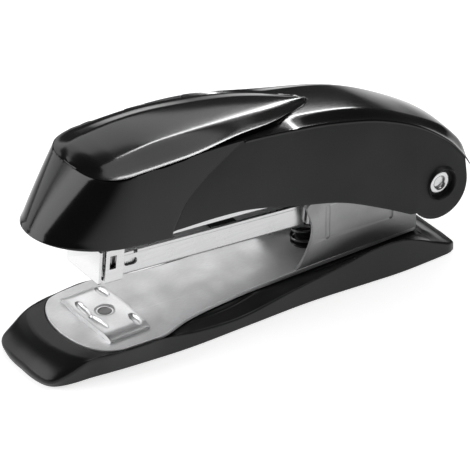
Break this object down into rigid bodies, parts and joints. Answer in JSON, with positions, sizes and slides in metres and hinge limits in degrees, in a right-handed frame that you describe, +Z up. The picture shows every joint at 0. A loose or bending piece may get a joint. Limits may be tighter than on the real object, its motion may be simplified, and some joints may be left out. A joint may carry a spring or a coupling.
{
  "type": "stapler",
  "caption": "Desktop half-strip stapler with a domed plastic handle, steel staple magazine, turning anvil and long plastic base.",
  "frame": {"origin": "middle of the bounding box on the surface the stapler stands on", "axes": "+X from nose to hinge along the stapler, +Y across it, +Z up"},
  "size_m": [0.1377, 0.0376, 0.0596],
  "materials": {
    "black_plastic": "satin moulded",
    "grey_plastic": "fine matt texture",
    "rubber": "matt",
    "satin_steel": "satin plated",
    "anvil_steel": "satin plated",
    "nickel": "bright nickel",
    "staple_wire": "galvanised wire",
    "spring_steel": "dark oiled"
  },
  "bodies": {
    "base": {"base_shell": "black_plastic", "base_pad_front": "rubber", "base_pad_rear": "rubber", "base_plate": "satin_steel", "hinge_rivet": "nickel", "hinge_washer_left": "satin_steel", "hinge_washer_right": "satin_steel", "anvil_spring": "spring_steel", "spring_seat": "black_plastic", "return_spring": "spring_steel"},
    "anvil_button": {"anvil_button": "black_plastic"},
    "anvil": {"anvil_plate": "anvil_steel", "anvil_pivot": "anvil_steel"},
    "magazine": {"magazine_channel": "nickel", "nose_sleeve": "nickel", "nose_plate": "nickel", "staple_rail": "satin_steel", "staple_strip": "staple_wire", "pusher_rod": "satin_steel", "pusher_spring": "spring_steel", "magazine_arm": "satin_steel", "handle_spring": "spring_steel"},
    "pusher": {"pusher": "black_plastic"},
    "handle": {"nose_cap": "black_plastic", "top_pad": "black_plastic", "spine_cover": "black_plastic", "cheek_left": "grey_plastic", "cheek_right": "grey_plastic", "lever_frame": "nickel", "driver_blade": "satin_steel", "driver_bracket": "satin_steel", "driver_rivet_left": "nickel", "driver_rivet_right": "nickel"}
  },
  "joints": [
    {"name": "magazine_hinge", "type": "hinge", "parent": "base", "child": "magazine", "pos_m": [0.05805, 0, 0.0198], "axis": [0, 1, 0], "range_deg": [-7.2, 0], "stiffness_Nm_per_rad": 1.5, "springref_deg": 14.32, "deforming": ["return_spring"]},
    {"name": "handle_hinge", "type": "hinge", "parent": "magazine", "child": "handle", "pos_m": [0.05805, 0, 0.0198], "axis": [0, 1, 0], "range_deg": [-4.7, 95]},
    {"name": "pusher_slide", "type": "slide", "parent": "magazine", "child": "pusher", "axis": [0.996, 0, -0.0889], "range_m": [0, 0.019], "stiffness_N_per_m": 60, "springref_m": -0.02, "deforming": ["pusher_spring"]},
    {"name": "anvil_lift", "type": "slide", "parent": "base", "child": "anvil_button", "axis": [0, 0, 1], "range_m": [0, 0.002], "stiffness_N_per_m": 400, "springref_m": -0.002, "deforming": ["anvil_spring"]},
    {"name": "anvil_turn", "type": "hinge", "parent": "anvil_button", "child": "anvil", "pos_m": [-0.04255, 0, 0.0089], "axis": [0, 0, 1], "range_deg": [0, 180]}
  ]
}
